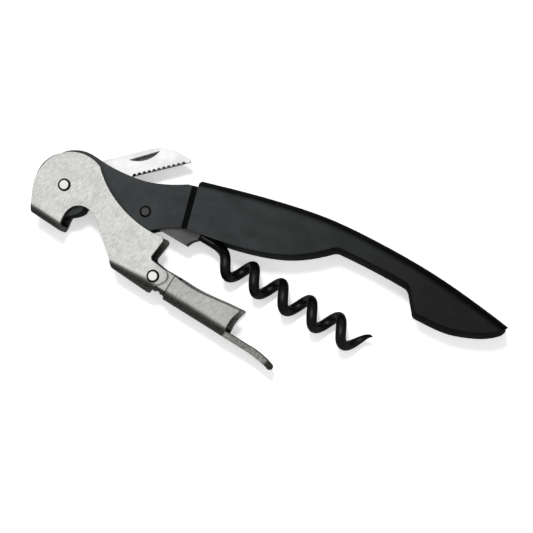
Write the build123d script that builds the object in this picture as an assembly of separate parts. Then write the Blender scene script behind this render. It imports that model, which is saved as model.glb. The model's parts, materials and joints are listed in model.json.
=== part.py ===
"""Waiter's corkscrew lying on its side, half open: levers down, blade up, worm between.

All outlines are drawn in millimetres about the head pivot, with +X towards the tail tip,
+Y towards the spine of the handle and +Z up through the thickness. The finished pieces
are then moved so that the origin is the bottom centre of the bounding box.
"""
import os
from math import cos, pi, sin, sqrt

from build123d import *

os.makedirs("parts", exist_ok=True)

# ---- driving dimensions ----
GRIP_WIDTH = 12.0           # outside width of the folded grip
NECK_WIDTH = 7.2            # outside width of the two neck walls
LEVER_WIDTH = 10.8          # outside width of both levers
NEST_WIDTH = 8.0            # outside width of the second lever's hinge end
HANDLE_SHEET = 1.2
LEVER_SHEET = 1.3
GRIP_FOLD = 2.2             # outside radius of the fold along the spine
LEVER_FOLD = 2.3
RUN = 0.05                  # running clearance, radial and axial

HEAD_PIN_R = 1.2
WORM_PIN_R = 1.1
RIVET_HEAD_R = 1.6
RIVET_HEAD_H = 0.55
WORM_HEAD_R = 1.45
WORM_HEAD_H = 0.4
WORM_PIN = (21.1, 0.0)
HINGE_PIN = (28.3, -14.6)

BLADE_THICK = 1.0
BLADE_ANGLE = 31.3          # direction of the blade at rest
BLADE_SPINE = 4.4           # distance of the spine from the pivot line
BLADE_EDGE = -1.15          # distance of the cutting edge from the pivot line
BLADE_LENGTH = 31.5

WIRE_R = 1.32
COIL_R = 2.68               # centre line radius of the worm
PITCH = 8.25
TURNS = 5
WORM_ANGLE = -12.4          # direction of the worm's axis at rest
WORM_DROP = 0.8             # the axis passes this far below its rivet
COIL_START = 21.5           # first turn starts this far from the rivet
CLIP_SHEET = 1.05

ARM_ANGLE = -13.5           # direction of the second lever at rest

MID = GRIP_WIDTH / 2


# ---- helpers ----
def slab(shape, low, high):
    """A flat outline in XY pulled up from height low to height high."""
    return Pos(0, 0, low) * extrude(shape, amount=high - low, dir=(0, 0, 1))


def outline(*lines):
    return Face(Wire([edge for line in lines for edge in line.edges()]))


def polygon(*points):
    return Face(Wire(Polyline(*points, close=True).edges()))


def inset(points, depth):
    """The points of a curve moved sideways by depth, to the right of its direction."""
    moved = []
    for i, (x, y) in enumerate(points):
        (ax, ay), (bx, by) = points[max(i - 1, 0)], points[min(i + 1, len(points) - 1)]
        size = sqrt((bx - ax) ** 2 + (by - ay) ** 2)
        moved.append((x + (by - ay) / size * depth, y - (bx - ax) / size * depth))
    return moved


def pin(centre, radius, low, high):
    return Pos(centre[0], centre[1], (low + high) / 2) * Cylinder(radius, high - low)


def rivet(centre, shank_r, head_r, head_h, low, high):
    """Shank from low to high with a flat-topped, steeply coned head above and below."""
    top = Plane.XZ * polygon((0, 0), (head_r, 0), (head_r, head_h * 0.2),
                             (head_r * 0.68, head_h), (0, head_h))
    head = revolve(top, axis=Axis.Z)
    place = Pos(centre[0], centre[1], 0)
    upper = place * Pos(0, 0, high) * head
    lower = place * Pos(0, 0, low) * Rot(180, 0, 0) * head
    return pin(centre, shank_r, low, high) + upper + lower


def washer(centre, outer_r, hole_r, low, high):
    return pin(centre, outer_r, low, high) - pin(centre, hole_r, low - 1, high + 1)


def channel(width, fold, back, front):
    """Rounded block standing on the X axis, from x = back to front; its lower edges are folds."""
    shape = Plane.YZ * Pos(20, MID) * Rectangle(40, width)
    block = Pos(back, 0, 0) * extrude(shape, amount=front - back)
    low_edges = block.edges().filter_by(Axis.X).group_by(Axis.Y)[0]
    return fillet(low_edges, fold)


# ---- handle: one sheet, folded along the spine of the grip, open below and at the neck ----
SPINE = [(32.4, 11.4), (44.8, 12.2), (55, 12.5), (65.4, 12.2), (76, 10.8),
         (86.8, 8.75), (97.8, 5.95), (106.2, 3.25), (113.4, 0.7), (118.5, -1.4)]
BELLY = [(32.6, -1.0), (44, -1.3), (51.5, -0.7), (58.7, 0.85), (65.4, 3.95), (68.3, 5.8)]
FINGER = [(70.2, 6.05), (78, 5.0), (87.3, 3.3)]
TAIL = [(92.4, -3.15), (97.5, -3.9), (101, -4.1), (106, -3.45), (110.6, -2.1), (113.8, -0.2)]
FAR_DROP, FAR_TURN = 0.5, -0.7   # the far wall is cut deeper, increasingly so towards the tail

grip_face = outline(
    Polyline(SPINE[-1], (118.5, -12), (33.3, -12), (32.0, 10.6), SPINE[0]),
    Spline(*SPINE),
)
grip = slab(grip_face, 0, GRIP_WIDTH)
spine_edges = [e for e in grip.edges() if e.center().Y > 4 and e.length > 60]
grip = fillet(spine_edges, GRIP_FOLD)
below = outline(
    Line((30, -1.0), BELLY[0]),
    Spline(*BELLY),
    ThreePointArc(BELLY[-1], (69.2, 6.1), FINGER[0]),
    Spline(*FINGER),
    ThreePointArc(FINGER[-1], (88.5, 2.7), (89.2, 1.7)),
    Line((89.2, 1.7), (91.2, -2.0)),
    ThreePointArc((91.2, -2.0), (91.65, -2.75), TAIL[0]),
    Spline(*TAIL),
    Polyline(TAIL[-1], (115.1, 1.8), (120, 1.8), (120, -14), (30, -14), (30, -1.0)),
)
grip -= slab(below, HANDLE_SHEET, GRIP_WIDTH + 1)
belly_start = Pos(BELLY[0][0], BELLY[0][1], 0)
far_below = Pos(0, -FAR_DROP, 0) * belly_start * Rot(0, 0, FAR_TURN) * belly_start.inverse() * below
grip -= slab(far_below, -1, GRIP_WIDTH + 1)
blunt = outline(
    ThreePointArc((112.6, -2.9), (114.2, -1.2), (114.65, 0.7)),
    Polyline((114.65, 0.7), (120, 0.7), (120, -14), (112.6, -14), (112.6, -2.9)),
)
grip -= slab(blunt, -1, GRIP_WIDTH + 1)

roof = inset(SPINE, HANDLE_SHEET)[:-1]
hollow_face = outline(
    Polyline((30, -9), (30, roof[0][1]), roof[0]),
    Spline(*roof),
    Polyline(roof[-1], (roof[-1][0], -9), (30, -9)),
)
hollow = slab(hollow_face, HANDLE_SHEET, GRIP_WIDTH - HANDLE_SHEET)
roof_edges = [e for e in hollow.edges() if e.center().Y > 4 and e.length > 60]
hollow = fillet(roof_edges, GRIP_FOLD - HANDLE_SHEET)
grip -= hollow

JOG_BACK, JOG_FRONT, JOG_LEAN = 30.6, 32.6, 3.5
neck_top = MID + NECK_WIDTH / 2
section = Plane.XZ * polygon(
    (-15, neck_top), (-15, neck_top - HANDLE_SHEET), (JOG_BACK + 0.4, neck_top - HANDLE_SHEET),
    (JOG_FRONT + 0.4, GRIP_WIDTH - HANDLE_SHEET), (40, GRIP_WIDTH - HANDLE_SHEET),
    (40, GRIP_WIDTH), (JOG_FRONT, GRIP_WIDTH), (JOG_BACK, neck_top),
)
neck_sheet = Pos(0, 20, 0) * extrude(section, amount=40, dir=(0, -1, 0))
bends = [e for e in neck_sheet.edges().filter_by(Axis.Y) if 30 < e.center().X < 33]
neck_sheet = fillet(bends, 0.7)
neck_sheet = Pos(31.6, 4, 0) * Rot(0, 0, JOG_LEAN) * Pos(-31.6, -4, 0) * neck_sheet

neck_face = outline(
    ThreePointArc((4.9, -5.7), (-7.45, -2.6), (-3.8, 7.4)),
    Spline((-3.8, 7.4), (-0.7, 9.15), (2.2, 9.6), (7.6, 8.35), (13.6, 7.35), (18.6, 7.15),
           (24.9, 8.25), (29.1, 9.65)),
    Polyline((29.1, 9.65), (31.2, 9.75), (33.2, 9.5), (34.2, 8.8), (34.2, -1.0)),
    Spline((34.2, -1.0), (29.7, -1.45), (26, -2.85), (23.2, -4.5)),
    Polyline((23.2, -4.5), (5.95, -3.5), (5.8, -4.3), (5.6, -5.0), (4.9, -5.7)),
)
near_neck = slab(neck_face, 0, GRIP_WIDTH) & neck_sheet
far_neck = near_neck.mirror(Plane.XY.offset(MID))
handle_channel = grip + near_neck + far_neck
handle_channel -= pin((0, 0), HEAD_PIN_R, -1, 13)
handle_channel -= pin(WORM_PIN, WORM_PIN_R, -1, 13)


# ---- first lever: one sheet folded under the cap lifter's hook and under the arm ----
lever_low, lever_top = MID - LEVER_WIDTH / 2, MID + LEVER_WIDTH / 2
HOOK_ANGLE, HOOK_DEPTH = -14.9, 10.2      # web under the hook: direction, distance from pivot
UNDER_ANGLE, UNDER_DEPTH = -16.4, 10.3    # web under the arm
UNDER_FOLD = [(14.5, 0.8), (31.0, 3.8)]   # its fold opens out towards the hinge

lever_face = outline(
    Line((-6.1, -9.6), (-7.0, -4.6)),
    ThreePointArc((-7.0, -4.6), (-7.6, -1.4), (-7.5, 0.6)),
    ThreePointArc((-7.5, 0.6), (-0.3, 8.55), (7.1, 7.0)),
    Spline((7.1, 7.0), (10.5, 2.85), (14.9, -0.6), (21.2, -3.6), (26.7, -4.8)),
    ThreePointArc((26.7, -4.8), (27.75, -5.25), (27.75, -6.1)),
    Line((27.75, -6.1), (26.5, -9.6)),
    ThreePointArc((26.5, -9.6), (26.45, -10.5), (27.2, -11.1)),
    Line((27.2, -11.1), (30.2, -12.2)),
    ThreePointArc((30.2, -12.2), (31.6, -13.4), (31.4, -14.9)),
    Line((31.4, -14.9), (28.4, -18.2)),
    Line((28.4, -18.2), (27.9, -19.4)),
    Line((27.9, -19.4), (17.8, -16.1)),
    ThreePointArc((17.8, -16.1), (17.3, -15.5), (16.6, -13.8)),
    Spline((16.6, -13.8), (13.3, -9.5), (11.2, -6.75)),
    Spline((11.2, -6.75), (9.2, -4.6), (6.4, -3.6), (3.7, -4.5), (2.3, -6.9), (2.0, -9.1)),
    Line((2.0, -9.1), (1.9, -11.6)),
    Line((1.9, -11.6), (-6.1, -9.6)),
)
lever_body = slab(lever_face, lever_low, lever_top)


def hook_block(width, fold, depth):
    return Rot(0, 0, HOOK_ANGLE) * Pos(0, -depth, 0) * channel(width, fold, -20, 9.2)


def arm_block(width, shrink, depth):
    """Channel whose fold radius grows along the arm."""
    ends = []
    for x, fold in UNDER_FOLD:
        shape = Pos(20, MID) * RectangleRounded(40, width, max(fold - shrink, 0.2))
        ends.append(Pos(x, 0, 0) * (Plane.YZ * shape).face())
    tapered = loft(ends, ruled=True)
    start = Pos(UNDER_FOLD[0][0], 0, 0) * (Plane.YZ * Pos(20, MID) * Rectangle(40, width))
    plain = extrude(start, amount=-6.6)
    tail = extrude(Pos(UNDER_FOLD[1][0], 0, 0) * (Plane.YZ * Pos(20, MID) * RectangleRounded(
        40, width, UNDER_FOLD[1][1] - shrink)), amount=6)
    return Rot(0, 0, UNDER_ANGLE) * Pos(0, -depth, 0) * (tapered + plain + tail)


inner_width = LEVER_WIDTH - 2 * LEVER_SHEET
solid_part = hook_block(LEVER_WIDTH, LEVER_FOLD, HOOK_DEPTH) + arm_block(LEVER_WIDTH, 0, UNDER_DEPTH)
hollow_part = (hook_block(inner_width, LEVER_FOLD - LEVER_SHEET, HOOK_DEPTH - LEVER_SHEET)
               + arm_block(inner_width, LEVER_SHEET + 1.2, UNDER_DEPTH - LEVER_SHEET))
web_end = slab(polygon((27.7, -17.2), (33, -15.6), (33, -21), (27.3, -21)),
               lever_low + LEVER_SHEET, lever_top - LEVER_SHEET)
first_lever = (lever_body & solid_part) - hollow_part - web_end
first_lever -= pin((0, 0), HEAD_PIN_R + RUN, -1, 13)
first_lever -= pin(HINGE_PIN, HEAD_PIN_R, -1, 13)


# ---- second lever: drawn along +X from its hinge, then turned into place ----
ARM_WEB = 3.7               # outside of its web below the hinge
NEST_WEB = 3.0              # the same at the nested hinge end
ARM_FOLD = 3.0
TONGUE = 36.6
FAR_LIFT = 0.5              # its far wall stands higher and ends later than the near one
arm_inner = LEVER_WIDTH - 2 * LEVER_SHEET
nest_inner = NEST_WIDTH - 2 * LEVER_SHEET


def arm_section(x, width, fold, web):
    shape = Plane.YZ * Pos(20 - web, MID) * RectangleRounded(40, width, fold)
    return Pos(x, 0, 0) * shape.face()


def arm_shell(stations):
    """Blocks lofted from one (x, width, fold, web) station to the next."""
    body = None
    for a, b in zip(stations, stations[1:]):
        piece = loft([arm_section(*a), arm_section(*b)], ruled=True)
        body = piece if body is None else body + piece
    return body


t = LEVER_SHEET
outside = arm_shell([(-5, NEST_WIDTH, 1.7, NEST_WEB), (4.25, NEST_WIDTH, 1.7, NEST_WEB),
                     (4.7, LEVER_WIDTH, ARM_FOLD, ARM_WEB), (40, LEVER_WIDTH, ARM_FOLD, ARM_WEB)])
inside = arm_shell([(-5, nest_inner, 0.5, NEST_WEB - t), (4.5, nest_inner, 0.5, NEST_WEB - t),
                    (5.2, arm_inner, ARM_FOLD - t, ARM_WEB - t),
                    (24, arm_inner, ARM_FOLD - t, ARM_WEB - t)])


def arm_face(lift):
    """Side of the second lever, its free edge and end moved out by lift."""
    end, top = 22.0 + lift, 3.9 + lift
    return outline(
        ThreePointArc((0, 2.75), (-2.75, 0), (0, -2.75)),
        Polyline((0, -2.75), (3.2, -2.6), (3.2, -5), (end - 0.1, -5), (end + 0.1, -2.0)),
        ThreePointArc((end + 0.1, -2.0), (end - 0.05, 0.9 + lift / 2), (end + 0.6, top - 0.5)),
        ThreePointArc((end + 0.6, top - 0.5), (end + 0.5, top - 0.05), (end, top)),
        Spline((end, top), (16.5, 3.2 + lift), (10.5, 2.5 + lift), (4.6, 2.75 + lift / 2), (0, 2.75)),
    )


sides = slab(arm_face(0), MID, GRIP_WIDTH) + slab(arm_face(FAR_LIFT), 0, MID)
second_lever = (sides & outside) - inside

bend = 28.0                 # the tongue turns down a little beyond here
tongue_top = -ARM_WEB + t + 0.2
tongue_side = outline(
    Polyline((20, tongue_top), (20, -ARM_WEB), (bend, -ARM_WEB)),
    Spline((bend, -ARM_WEB), (32.5, -4.0), (35.3, -4.5)),
    ThreePointArc((35.3, -4.5), (36.55, -4.2), (36.0, -3.2)),
    Spline((36.0, -3.2), (32.5, -2.4), (bend, tongue_top)),
    Line((bend, tongue_top), (20, tongue_top)),
)
tongue_plan = Plane.XZ * outline(
    Line((20, MID - 3.3), (20, MID + 3.3)),
    Spline((20, MID + 3.3), (23.5, MID + 3.1), (29, MID + 2.7), (33.6, MID + 2.6)),
    ThreePointArc((33.6, MID + 2.6), (TONGUE, MID), (33.6, MID - 2.6)),
    Spline((33.6, MID - 2.6), (29, MID - 2.7), (23.5, MID - 3.1), (20, MID - 3.3)),
)
tongue = slab(tongue_side, 0, GRIP_WIDTH) & (Pos(0, 10, 0) * extrude(tongue_plan, amount=30, dir=(0, -1, 0)))
second_lever += tongue
second_lever -= pin((0, 0), HEAD_PIN_R + RUN, -1, 13)
second_lever = Pos(HINGE_PIN[0], HINGE_PIN[1], 0) * Rot(0, 0, ARM_ANGLE) * second_lever


# ---- knife: drawn along +X from the pivot ----
SCALLOPS, SCALLOP_PITCH, SCALLOP_START = 11, 1.27, 16.9
SCALLOP_R = 0.8
SCALLOP_DROP = 1.15         # cutter's centre below the edge
SCALLOP_TILT = -63          # ground from the near side
NICK_DEPTH = 0.85           # the nail nick slopes down to its straight upper edge
blade_face = outline(
    Line((0, BLADE_SPINE), (22.8, BLADE_SPINE)),
    Spline((22.8, BLADE_SPINE), (25.9, 3.75), (29.3, 1.6), (BLADE_LENGTH, BLADE_EDGE + 0.7)),
    Polyline((BLADE_LENGTH, BLADE_EDGE + 0.7), (BLADE_LENGTH, BLADE_EDGE + 0.2),
             (BLADE_LENGTH - 0.3, BLADE_EDGE), (9.5, BLADE_EDGE)),
    ThreePointArc((9.5, BLADE_EDGE), (5.6, -2.2), (2.4, -3.69)),
    ThreePointArc((2.4, -3.69), (-BLADE_SPINE, 0), (0, BLADE_SPINE)),
)
blade_low, blade_top = MID - BLADE_THICK / 2, MID + BLADE_THICK / 2
knife_blade = slab(blade_face, blade_low, blade_top)
for i in range(SCALLOPS):
    spot = Pos(SCALLOP_START + i * SCALLOP_PITCH, BLADE_EDGE - SCALLOP_DROP, blade_top)
    knife_blade -= spot * Rot(SCALLOP_TILT, 0, 0) * Cylinder(SCALLOP_R, 6)
nick_face = outline(
    Line((16.4, 3.15), (24.6, 3.5)),
    ThreePointArc((24.6, 3.5), (20.9, 2.1), (16.4, 3.15)),
)
nick_wedge = Plane.YZ * polygon((1.9, blade_top), (3.6, blade_top - NICK_DEPTH),
                                (3.6, blade_top + 1), (1.9, blade_top + 1))
nick_block = Pos(15, 0, 0) * extrude(nick_wedge, amount=12, dir=(1, 0, 0))
knife_blade -= slab(nick_face, blade_top - NICK_DEPTH, blade_top + 1) & nick_block
knife_blade -= pin((0, 0), HEAD_PIN_R + RUN, 0, GRIP_WIDTH)
knife_blade = Rot(0, 0, BLADE_ANGLE) * knife_blade


# ---- worm: drawn along +X from its rivet ----
TOP = COIL_R - WORM_DROP    # height of the shank's centre above the rivet
TIP_TURNS = 0.6             # the last part tapers to a point and is drawn out a little
TIP_PITCH = 1.2 * PITCH


def coil_point(turn):
    a = 2 * pi * turn
    return (COIL_START + PITCH * turn, COIL_R * cos(a) - WORM_DROP, MID + COIL_R * sin(a))


LEAD_IN = 0.28             # turns used up by the bend out of the shank
COIL_TURNS = TURNS - TIP_TURNS - LEAD_IN
SLOPE = Vector(0, 2 * pi * COIL_R, PITCH)


def wire_section(place, way, radius):
    return Plane(origin=place, z_dir=way) * Circle(radius)


def coil_place(turn):
    """Takes a helix drawn upwards from (COIL_R, 0, 0) to its place after so many turns."""
    here = Pos(COIL_START + PITCH * turn, -WORM_DROP, MID)
    return here * Plane.YZ.location * Rot(0, 0, 360 * turn)


shank = Line((2.9, TOP, MID), (COIL_START - 4.2, TOP, MID))
lead_turn = 2 * pi * LEAD_IN
lead = Spline(shank @ 1, coil_point(LEAD_IN), tangents=[
    (1, 0, 0), (PITCH, -2 * pi * COIL_R * sin(lead_turn), 2 * pi * COIL_R * cos(lead_turn))])
coil = Helix(PITCH, PITCH * COIL_TURNS, COIL_R)
tip = Helix(TIP_PITCH, TIP_PITCH * TIP_TURNS, COIL_R)

worm_wire = sweep(wire_section(shank @ 0, (1, 0, 0), WIRE_R), path=shank)
worm_wire += sweep(wire_section(lead @ 0, lead % 0, WIRE_R), path=lead)
worm_wire += coil_place(LEAD_IN) * sweep(wire_section(coil @ 0, SLOPE, WIRE_R), path=coil, is_frenet=True)
rings = [wire_section(tip @ share, tip % share, radius)
         for share, radius in ((0, WIRE_R), (0.5, WIRE_R * 0.8), (1, 0.2))]
worm_wire += coil_place(TURNS - TIP_TURNS) * sweep(rings, path=tip, is_frenet=True, multisection=True)

CLIP_R = WIRE_R + CLIP_SHEET
CLIP_END = 14.7
clip_outer = Pos(TOP, MID) * Circle(CLIP_R) + Pos((TOP - 2.2) / 2, MID) * Rectangle(TOP + 2.2, 2 * CLIP_R)
clip_slot = Pos(TOP, MID) * Circle(WIRE_R) + Pos((TOP - 4) / 2, MID) * Rectangle(TOP + 4, 2 * WIRE_R)
clip_section = Plane.YZ * (clip_outer - clip_slot)
clip = Pos(-3, 0, 0) * extrude(clip_section, amount=CLIP_END + 3, dir=(1, 0, 0))
clip_side = outline(
    ThreePointArc((0, 2.9), (-2.9, 0), (-1.9, -2.19)),
    Line((-1.9, -2.19), (CLIP_END - 1.9, -2.19)),
    ThreePointArc((CLIP_END - 1.9, -2.19), (CLIP_END - 1.2, -0.6), (CLIP_END, 0.6)),
    Polyline((CLIP_END, 0.6), (CLIP_END, 3.2), (CLIP_END - 1.1, 4.4), (2.4, 4.4), (0, 2.9)),
)
worm_base = clip & slab(clip_side, 0, GRIP_WIDTH)
worm_base -= pin((0, 0), WORM_PIN_R + RUN, 0, GRIP_WIDTH)


def at_worm(shape):
    return Pos(WORM_PIN[0], WORM_PIN[1], 0) * Rot(0, 0, WORM_ANGLE) * shape


worm_wire, worm_base = at_worm(worm_wire), at_worm(worm_base)


# ---- rivets, washers and spacers ----
head_rivet = rivet((0, 0), HEAD_PIN_R, RIVET_HEAD_R, RIVET_HEAD_H, lever_low - RUN, lever_top + RUN)
hinge_rivet = rivet(HINGE_PIN, HEAD_PIN_R, RIVET_HEAD_R, RIVET_HEAD_H, lever_low, lever_top)
neck_low = MID - NECK_WIDTH / 2
worm_rivet = rivet(WORM_PIN, WORM_PIN_R, WORM_HEAD_R, WORM_HEAD_H, neck_low, neck_top)


def both_sides(shape):
    return shape + shape.mirror(Plane.XY.offset(MID))


lever_washers = both_sides(
    washer((0, 0), 3.6, HEAD_PIN_R, neck_top, lever_top - LEVER_SHEET - RUN))
knife_spacers = both_sides(
    washer((0, 0), 3.2, HEAD_PIN_R, blade_top + RUN, neck_top - HANDLE_SHEET))

PIECES = {
    "handle_channel": handle_channel,
    "head_rivet": head_rivet,
    "lever_washers": lever_washers,
    "knife_spacers": knife_spacers,
    "worm_rivet": worm_rivet,
    "first_lever": first_lever,
    "hinge_rivet": hinge_rivet,
    "second_lever": second_lever,
    "knife_blade": knife_blade,
    "worm_base": worm_base,
    "worm_wire": worm_wire,
}

whole = Compound(children=[Compound(children=list(p.solids())) for p in PIECES.values()]).bounding_box()
shift = (-(whole.min.X + whole.max.X) / 2, -(whole.min.Y + whole.max.Y) / 2, -whole.min.Z)
for name, piece in PIECES.items():
    solids = piece.solids()
    print(name, len(solids), [round(s.volume, 1) for s in solids], "valid", all(s.is_valid for s in solids))
    placed = Pos(*shift) * (solids[0] if len(solids) == 1 else Compound(list(solids)))
    export_step(placed, f"parts/{name}.step")
print("head pivot is at", [round(v, 3) for v in shift[:2]], "size", whole.size)
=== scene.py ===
import json
import math

import bpy
from mathutils import Matrix, Vector


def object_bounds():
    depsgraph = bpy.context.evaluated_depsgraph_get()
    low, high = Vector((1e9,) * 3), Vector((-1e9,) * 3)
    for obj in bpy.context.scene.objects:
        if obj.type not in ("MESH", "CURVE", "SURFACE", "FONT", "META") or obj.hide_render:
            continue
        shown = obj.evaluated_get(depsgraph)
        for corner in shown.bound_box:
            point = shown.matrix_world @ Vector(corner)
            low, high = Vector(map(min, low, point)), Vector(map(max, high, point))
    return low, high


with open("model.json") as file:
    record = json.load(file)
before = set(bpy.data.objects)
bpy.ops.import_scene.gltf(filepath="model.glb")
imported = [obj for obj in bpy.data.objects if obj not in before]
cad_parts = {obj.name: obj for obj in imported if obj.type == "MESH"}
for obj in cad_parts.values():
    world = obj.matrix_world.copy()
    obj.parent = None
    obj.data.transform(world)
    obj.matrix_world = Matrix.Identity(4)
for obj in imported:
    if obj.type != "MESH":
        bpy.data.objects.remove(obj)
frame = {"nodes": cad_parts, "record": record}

cad_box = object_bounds()

# ---- the shot: where the camera stands and what it looks at, from the middle of the CAD box ----
MM = 0.001
LENS = 96.25                          # on a 36 mm sensor
CAMERA_OFFSET = Vector((35.26, -10.91, 357.0)) * MM
AIM_OFFSET = Vector((0.35, 1.87, 6.0)) * MM
TURN = math.radians(-18.26)           # the tool lies turned this far in the frame
SOFTBOX = Vector((-0.16, 0.03, 1.0)).normalized()   # middle of the light overhead

# ---- the tool, for finishes that change along it ----
HINGE = next(joint["pos_m"] for joint in frame["record"]["behaviour"]["joints"]
             if joint["name"] == "arm_hinge")
NEST_HALF_WIDTH = 4.0 * MM            # half the width of the second lever's nested end
BRUSHING = math.radians(62)           # direction of the grain, from the tool's length
WHITE = (1, 1, 1)


def grey(level):
    return (level, level, level)


def object_centre():
    low, high = (Vector(corner) for corner in cad_box)
    return Vector(((low.x + high.x) / 2, (low.y + high.y) / 2, low.z))


# ---- node helpers ----
class Nodes:
    """Short calls for building a material's node tree."""

    def __init__(self, name):
        self.material = bpy.data.materials.new(name)
        self.material.use_nodes = True
        self.tree = self.material.node_tree
        self.shader = self.tree.nodes["Principled BSDF"]

    def add(self, kind, **settings):
        node = self.tree.nodes.new(kind)
        for key, value in settings.items():
            setattr(node, key, value)
        return node

    def join(self, out, into):
        self.tree.links.new(out, into)

    def place(self, scale, turn=0.0):
        """Object coordinates, turned in the XY plane and scaled per metre."""
        where = self.add("ShaderNodeTexCoord")
        mapping = self.add("ShaderNodeMapping")
        mapping.vector_type = "TEXTURE"
        mapping.inputs["Rotation"].default_value = (0, 0, turn)
        mapping.inputs["Scale"].default_value = tuple(1 / size for size in scale)
        self.join(where.outputs["Object"], mapping.inputs["Vector"])
        return mapping.outputs["Vector"]

    def noise(self, scale, turn=0.0, detail=3.0, rough=0.5):
        node = self.add("ShaderNodeTexNoise")
        node.inputs["Scale"].default_value = 1.0
        node.inputs["Detail"].default_value = detail
        node.inputs["Roughness"].default_value = rough
        self.join(self.place(scale, turn), node.inputs["Vector"])
        return node.outputs["Fac"]

    def spread(self, value, low, high, out_low, out_high):
        node = self.add("ShaderNodeMapRange")
        sockets = ("From Min", "From Max", "To Min", "To Max")
        for socket, number in zip(sockets, (low, high, out_low, out_high)):
            node.inputs[socket].default_value = number
        self.join(value, node.inputs["Value"])
        return node.outputs["Result"]

    def blend(self, share, dark, light):
        node = self.add("ShaderNodeMix", data_type="RGBA")
        node.inputs[6].default_value = (*dark, 1)
        node.inputs[7].default_value = (*light, 1)
        self.join(share, node.inputs[0])
        return node.outputs[2]

    def bump(self, *heights, edge=0.1):
        """Stacks (height, strength, distance in mm) layers on slightly rounded edges."""
        rounded = self.add("ShaderNodeBevel", samples=4)
        rounded.inputs["Radius"].default_value = edge * MM
        last = rounded.outputs["Normal"]
        for height, strength, distance in heights:
            node = self.add("ShaderNodeBump")
            node.inputs["Strength"].default_value = strength
            node.inputs["Distance"].default_value = distance * MM
            self.join(height, node.inputs["Height"])
            self.join(last, node.inputs["Normal"])
            last = node.outputs["Normal"]
        self.join(last, self.shader.inputs["Normal"])

    def constants(self, **values):
        for key, value in values.items():
            self.shader.inputs[key.replace("_", " ")].default_value = value

    def along(self, axis):
        """Object coordinate along X, Y or Z, in metres."""
        where = self.add("ShaderNodeTexCoord")
        split = self.add("ShaderNodeSeparateXYZ")
        self.join(where.outputs["Object"], split.inputs["Vector"])
        return split.outputs[axis]

    def facing_out(self):
        """1 on the flat sides of the tool, less on folds, bends and cut edges."""
        where = self.add("ShaderNodeTexCoord")
        split = self.add("ShaderNodeSeparateXYZ")
        self.join(where.outputs["Normal"], split.inputs["Vector"])
        return self.maths("ABSOLUTE", split.outputs["Z"])

    def maths(self, operation, value, *numbers):
        node = self.add("ShaderNodeMath", operation=operation)
        self.join(value, node.inputs[0])
        for place, number in enumerate(numbers, start=1):
            node.inputs[place].default_value = number
        return node.outputs[0]

    def off_middle(self):
        """Distance from the tool's middle plane."""
        middle = (cad_box[0][2] + cad_box[1][2]) / 2
        return self.maths("ABSOLUTE", self.maths("SUBTRACT", self.along("Z"), middle))

    def outer_face(self, start, full):
        """0 within start mm of the tool's middle plane, 1 from full mm outwards."""
        return self.spread(self.off_middle(), start * MM, full * MM, 0, 1)

    def times(self, colour, factor):
        node = self.add("ShaderNodeMix", data_type="RGBA", blend_type="MULTIPLY")
        node.inputs[0].default_value = 1.0
        self.join(colour, node.inputs[6])
        self.join(factor, node.inputs[7])
        return node.outputs[2]


def brushed_steel(name, painted_fold_shade, dark, light, grain_turn, roughness):
    """Sheet steel: flat faces belt-brushed bright; folds and insides get a dark mottled colour, painted
    shade.
    """
    n = Nodes(name)
    grain = n.noise((900, 3600, 900), turn=grain_turn, detail=5.0, rough=0.7)
    cloud = n.noise((230, 330, 230), detail=4.0, rough=0.6)
    fold_shade_mottle = n.noise((1500, 1500, 1500), detail=3.0, rough=0.7)
    n.constants(Metallic=1.0)
    brushed = n.blend(n.spread(grain, 0.3, 0.7, 0, 1), dark, light)
    clouded = n.times(brushed, n.blend(n.spread(cloud, 0.35, 0.65, 0, 1), grey(0.74), WHITE))
    # the colour is multiplied by 0.69 past the hinge, over the second lever
    past_hinge = n.spread(n.along("X"), HINGE[0] - 2 * MM, HINGE[0] + 6 * MM, 0, 1)
    darker_past_hinge = n.blend(past_hinge, WHITE, grey(0.69))
    nested = n.maths("COMPARE", n.off_middle(), NEST_HALF_WIDTH, 0.04 * MM)
    # faces that are neither outer faces nor the nest get the dark colour: painted shade on the folds and
    # insides
    flat = n.add("ShaderNodeMath", operation="MAXIMUM")
    n.join(n.outer_face(4.95, 5.37), flat.inputs[0])
    n.join(nested, flat.inputs[1])
    faces = n.add("ShaderNodeMix", data_type="RGBA")
    n.join(flat.outputs[0], faces.inputs[0])
    n.join(n.blend(n.spread(fold_shade_mottle, 0.35, 0.7, 0, 1), painted_fold_shade, tuple(2.6 * c for c in painted_fold_shade)), faces.inputs[6])
    n.join(n.times(clouded, darker_past_hinge), faces.inputs[7])
    n.join(faces.outputs[2], n.shader.inputs["Base Color"])
    n.join(n.spread(cloud, 0.3, 0.7, roughness - 0.04, roughness + 0.05), n.shader.inputs["Roughness"])
    n.bump((grain, 0.4, 0.02), edge=0.12)
    return n.material


def polished_steel(name, colour, roughness, edge, crown=None, patchy=0.9):
    """Bright steel with hairline handling marks; below the crown height it is painted near black as
    shade, the dark ring round a rivet's crown.
    """
    n = Nodes(name)
    marks = n.noise((260, 3800, 260), turn=math.radians(35), detail=2.0)
    sheen = n.noise((160, 160, 160), detail=3.0)
    n.constants(Metallic=1.0)
    shade = n.blend(n.spread(sheen, 0.3, 0.7, 0, 1), tuple(patchy * c for c in colour), colour)
    if crown is not None:
        # painted shade: near black below the crown height, for the dark ring round the crown
        painted_rim_shade = n.add("ShaderNodeMix", data_type="RGBA")
        n.join(n.outer_face(crown - 0.15, crown), painted_rim_shade.inputs[0])
        painted_rim_shade.inputs[6].default_value = (0.03, 0.03, 0.03, 1)
        n.join(shade, painted_rim_shade.inputs[7])
        shade = painted_rim_shade.outputs[2]
    n.join(shade, n.shader.inputs["Base Color"])
    n.join(n.spread(marks, 0.3, 0.7, roughness, roughness + 0.1), n.shader.inputs["Roughness"])
    n.bump((marks, 0.1, 0.01), edge=edge)
    return n.material


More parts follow.
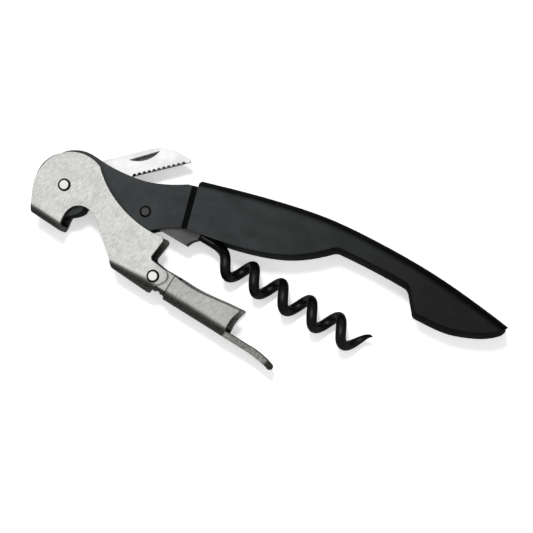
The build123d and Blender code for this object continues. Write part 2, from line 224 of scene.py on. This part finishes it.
def satin_paint(name, dark, light, roughness, specular):
    """Baked black paint: fine orange peel, dust specks and random patches; lighter towards the head as
    painted reflection, and folds, bends and cut edges darkened as painted shade.
    """
    n = Nodes(name)
    peel = n.noise((2600, 2600, 2600), detail=2.0)
    patch = n.noise((160, 220, 160), detail=4.0, rough=0.6)
    speck = n.noise((1500, 1500, 1500), detail=1.0)
    n.constants(Metallic=0.0)
    n.shader.inputs["Specular IOR Level"].default_value = specular
    # painted reflection: the paint is made lighter towards the head, where the neck catches more light
    painted_light_headward = n.spread(n.along("X"), cad_box[0][0] + 30 * MM, cad_box[1][0] - 20 * MM, 1, 0)
    patches = n.blend(n.spread(patch, 0.3, 0.7, 0, 1), grey(0.72), grey(1.25))
    # painted shade: colour multiplied down to 0.12 where faces turn away from the flat sides
    painted_bend_shade = n.blend(n.spread(n.facing_out(), 0.88, 0.99, 0, 1), grey(0.12), WHITE)
    shade = n.times(n.times(n.blend(painted_light_headward, dark, light), patches), painted_bend_shade)
    dusty = n.add("ShaderNodeMix", data_type="RGBA")
    n.join(n.spread(speck, 0.74, 0.8, 0, 0.2), dusty.inputs[0])
    n.join(shade, dusty.inputs[6])
    dusty.inputs[7].default_value = (0.15, 0.15, 0.15, 1)
    n.join(dusty.outputs[2], n.shader.inputs["Base Color"])
    n.join(n.spread(patch, 0.3, 0.7, roughness + 0.04, roughness - 0.04), n.shader.inputs["Roughness"])
    n.bump((peel, 0.12, 0.03), edge=0.12)
    return n.material


def gloss_coating(name, colour, roughness):
    """Slippery black coating on the worm, a little rippled along the wire."""
    n = Nodes(name)
    ripple = n.noise((700, 700, 700), detail=2.0)
    n.constants(Metallic=0.0)
    n.shader.inputs["Base Color"].default_value = (*colour, 1)
    n.shader.inputs["Specular IOR Level"].default_value = 0.5
    n.join(n.spread(ripple, 0.3, 0.7, roughness, roughness + 0.08), n.shader.inputs["Roughness"])
    n.bump((ripple, 0.15, 0.06))
    return n.material


finishes = {
    # lever_steel: the first colour is the painted shade for folds and insides
    "lever_steel": brushed_steel("lever_steel", (0.12, 0.12, 0.113), (0.48, 0.475, 0.46),
                                 (0.84, 0.835, 0.815), BRUSHING, 0.3),
    "washer_steel": polished_steel("washer_steel", grey(0.45), 0.35, 0.05),
    "rivet_steel": polished_steel("rivet_steel", (0.66, 0.66, 0.65), 0.16, 0.05, crown=5.93),
    "blade_steel": polished_steel("blade_steel", (0.72, 0.72, 0.725), 0.14, 0.1, patchy=0.75),
    # black_paint: the second colour is the painted reflection at the head end
    "black_paint": satin_paint("black_paint", (0.002, 0.0022, 0.002), (0.034, 0.038, 0.04),
                               0.36, 0.2),
    "black_rivet": polished_steel("black_rivet", grey(0.058), 0.22, 0.05, crown=3.98),
    "clip_steel": satin_paint("clip_steel", (0.06, 0.06, 0.064), (0.08, 0.08, 0.085), 0.4, 0.5),
    "worm_coating": gloss_coating("worm_coating", grey(0.004), 0.2),
}


def paint_all():
    slots = {part["node"]: part["material_slot"] for part in frame["record"]["subparts"]}
    for name, piece in frame["nodes"].items():
        piece.data.materials.clear()
        piece.data.materials.append(finishes[slots[name]])


# ---- studio ----
def make_floor():
    bpy.ops.mesh.primitive_plane_add(size=3.0, location=object_centre())
    floor = bpy.context.object
    floor.name = "floor"
    n = Nodes("floor_card")
    n.shader.inputs["Base Color"].default_value = (0.93, 0.93, 0.93, 1)
    n.constants(Roughness=0.9)
    n.shader.inputs["Specular IOR Level"].default_value = 0.1
    n.shader.inputs["Emission Color"].default_value = (1, 1, 1, 1)
    n.shader.inputs["Emission Strength"].default_value = 0.42
    floor.data.materials.append(n.material)
    floor.visible_glossy = False


def make_sky():
    """One soft light overhead, fading out to a dark room, as in a light tent with black cards."""
    world = bpy.data.worlds.new("studio")
    bpy.context.scene.world = world
    world.use_nodes = True
    tree = world.node_tree
    where = tree.nodes.new("ShaderNodeTexCoord")
    towards = tree.nodes.new("ShaderNodeVectorMath")
    towards.operation = "DOT_PRODUCT"
    towards.inputs[1].default_value = SOFTBOX
    ramp = tree.nodes.new("ShaderNodeValToRGB")
    tree.links.new(where.outputs["Generated"], towards.inputs[0])
    tree.links.new(towards.outputs["Value"], ramp.inputs["Fac"])
    tree.links.new(ramp.outputs["Color"], tree.nodes["Background"].inputs["Color"])
    dark, bright = ramp.color_ramp.elements
    dark.position = 0.8
    dark.color = (0.1, 0.1, 0.1, 1)
    bright.position = 0.985
    bright.color = (1, 1, 1, 1)
    middle = ramp.color_ramp.elements.new(0.93)
    middle.color = (0.6, 0.6, 0.6, 1)
    tree.nodes["Background"].inputs["Strength"].default_value = 1.4


def make_light(name, offset, size, power):
    light = bpy.data.lights.new(name, "AREA")
    light.shape = "DISK"
    light.size = size
    light.energy = power
    lamp = bpy.data.objects.new(name, light)
    bpy.context.collection.objects.link(lamp)
    lamp.location = object_centre() + Vector(offset)
    lamp.rotation_euler = (-Vector(offset)).to_track_quat("-Z", "Y").to_euler()
    lamp.visible_glossy = False


def make_camera():
    data = bpy.data.cameras.new("camera")
    data.lens = LENS
    data.sensor_width = 36.0
    data.clip_start = 0.01
    camera = bpy.data.objects.new("camera", data)
    bpy.context.collection.objects.link(camera)
    eye = object_centre() + CAMERA_OFFSET
    back = (eye - (object_centre() + AIM_OFFSET)).normalized()
    up = Vector((0, 1, 0))
    up = (up - back * up.dot(back)).normalized()
    up.rotate(Matrix.Rotation(-TURN, 3, back))
    right = up.cross(back)
    camera.matrix_world = Matrix.Translation(eye) @ Matrix((right, up, back)).transposed().to_4x4()
    bpy.context.scene.camera = camera


paint_all()
make_floor()
make_sky()
make_light("key", (-0.067, 0.21, 0.6), 0.09, 1.9)
make_light("fill", (0.3, -0.1, 0.6), 0.5, 0.9)
make_camera()
bpy.context.scene.view_settings.view_transform = "Standard"
